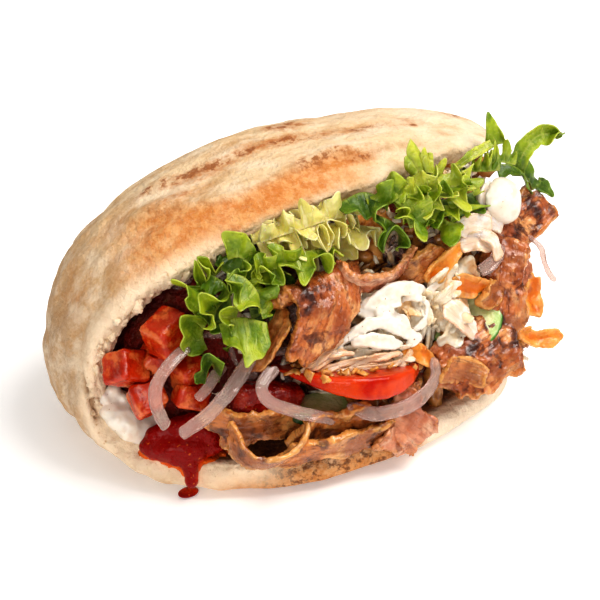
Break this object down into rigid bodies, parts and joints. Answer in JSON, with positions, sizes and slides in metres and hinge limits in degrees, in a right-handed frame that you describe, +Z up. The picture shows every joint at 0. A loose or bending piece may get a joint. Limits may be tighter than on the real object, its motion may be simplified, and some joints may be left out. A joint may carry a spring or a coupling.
{
  "type": "doner kebab sandwich",
  "caption": "Oval flatbread pocket slit along its front and open at one end, heaped with grilled meat slices, lettuce, tomato, onion, cabbage and sauces.",
  "frame": {"origin": "on the bread's flat underside, under the middle of the bread, in the plane that it rests on", "axes": "+X along the bread from its closed end to its open end, the slit faces -Y, +Z up out of the rest plane"},
  "size_m": [0.1967, 0.1277, 0.0959],
  "materials": {
    "bread": "dry baked flatbread crust, floury, with brown toasted spots",
    "meat": "roast doner meat, brown, slightly greasy, with charred edges",
    "lettuce": "fresh green leaf with a waxy sheen",
    "tomato": "wet red tomato flesh and skin",
    "onion": "translucent raw onion with purple edges",
    "cabbage": "pale shredded cabbage, moist",
    "cucumber": "cucumber slice with dark green skin",
    "white_sauce": "creamy white yoghurt sauce",
    "chili_sauce": "glossy dark red chili sauce",
    "crisp": "golden crisp fried onion"
  },
  "bodies": {
    "root": {"bread": "bread", "cabbage_heap": "cabbage", "chili_drip": "chili_sauce", "chili_sauce": "chili_sauce", "cucumber_slice_1": "cucumber", "cucumber_slice_2": "cucumber", "filling_core": "cabbage", "fried_onion_1": "crisp", "fried_onion_2": "crisp", "fried_onion_3": "crisp", "fried_onion_4": "crisp", "fried_onion_5": "crisp", "fried_onion_6": "crisp", "fried_onion_7": "crisp", "lettuce_end_curl": "lettuce", "lettuce_frill": "lettuce", "lettuce_front": "lettuce", "lettuce_front_spear": "lettuce", "lettuce_mass": "lettuce", "lettuce_middle": "lettuce", "lettuce_over_lip": "lettuce", "lettuce_pale": "lettuce", "lettuce_rib": "lettuce", "meat_behind_curl": "meat", "meat_big": "meat", "meat_charred": "meat", "meat_curled": "meat", "meat_end_bit": "meat", "meat_end_chunk": "meat", "meat_end_side": "meat", "meat_end_upper": "meat", "meat_folded_tip": "meat", "meat_long_lower": "meat", "meat_long_upper": "meat", "meat_open": "meat", "meat_over_lip": "meat", "meat_pink": "meat", "meat_thin_upright": "meat", "meat_torn": "meat", "meat_upright": "meat", "onion_strip_1": "onion", "onion_strip_2": "onion", "onion_strip_3": "onion", "onion_strip_4": "onion", "onion_strip_5": "onion", "onion_strip_6": "onion", "onion_strip_7": "onion", "tomato_dice_1": "tomato", "tomato_dice_2": "tomato", "tomato_dice_3": "tomato", "tomato_dice_4": "tomato", "tomato_dice_5": "tomato", "tomato_dice_6": "tomato", "tomato_slice": "tomato", "tomato_wedge": "tomato", "white_sauce_dollop": "white_sauce", "white_sauce_left": "white_sauce", "white_sauce_slaw": "white_sauce"}
  },
  "joints": []
}
